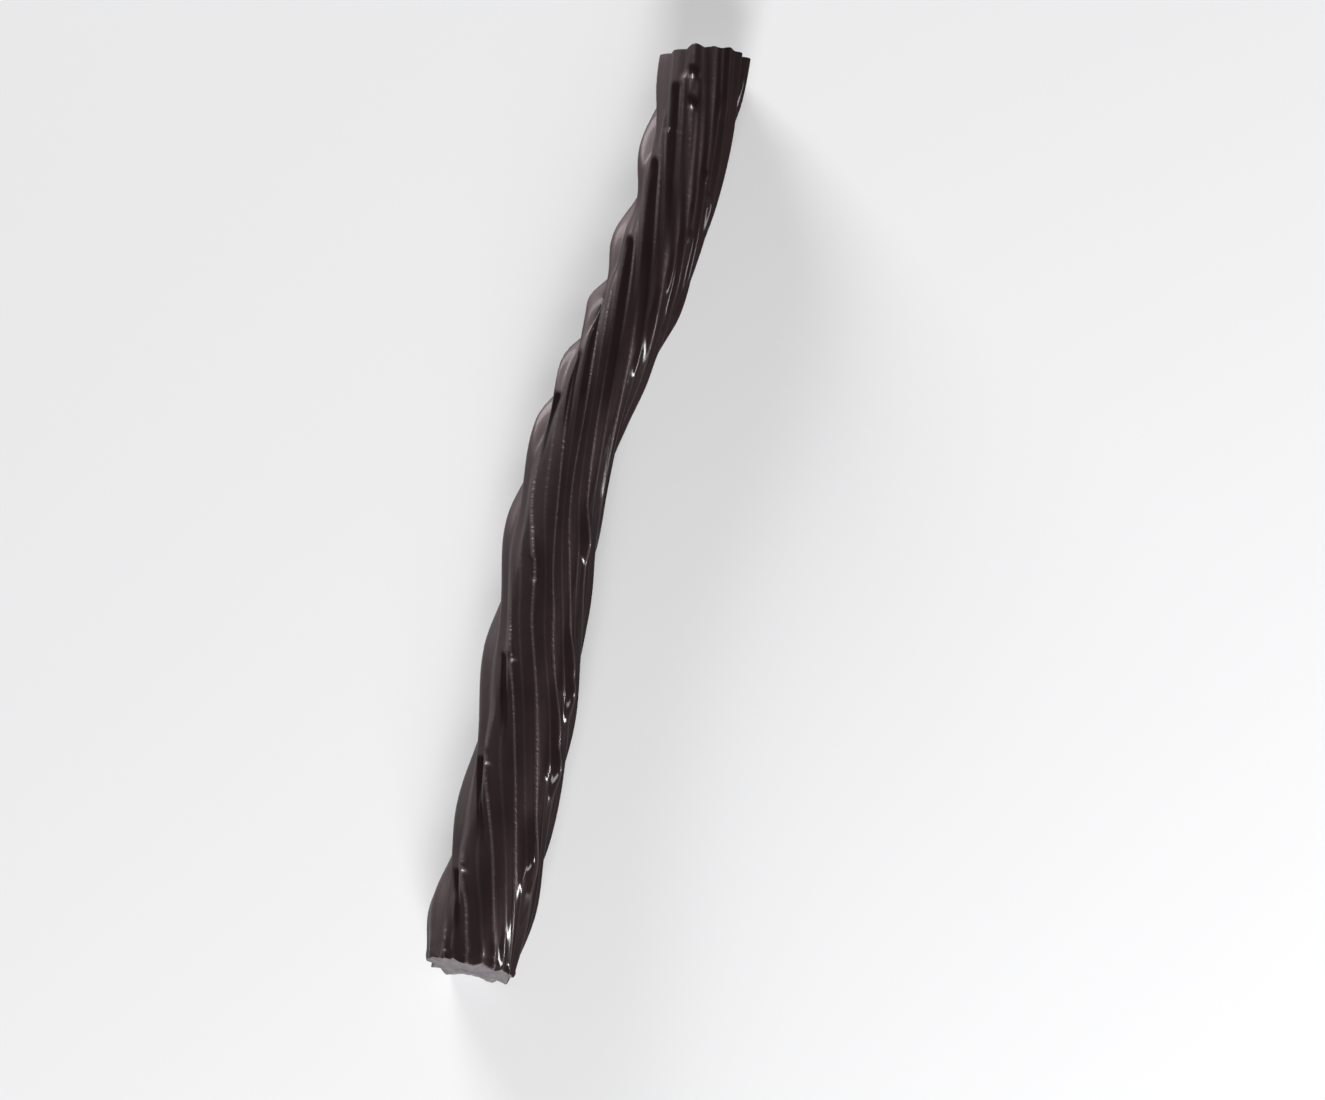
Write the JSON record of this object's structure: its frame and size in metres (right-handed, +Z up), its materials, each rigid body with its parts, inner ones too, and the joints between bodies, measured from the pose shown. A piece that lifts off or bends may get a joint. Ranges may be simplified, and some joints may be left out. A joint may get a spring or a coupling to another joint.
{
  "type": "licorice twist",
  "caption": "Soft black licorice candy: a ribbed strand twisted along its length, gently bent, with a plain cut at each end.",
  "frame": {"origin": "on the resting surface, under the middle of the strand's footprint", "axes": "+Y along the strand, from its near cut to its far cut; +Z up, out of the side that is shown; +X across"},
  "size_m": [0.0204, 0.1566, 0.0141],
  "materials": {
    "licorice": "glossy, soft, near-black candy skin"
  },
  "bodies": {
    "root": {"licorice_twist": "licorice"}
  },
  "joints": []
}
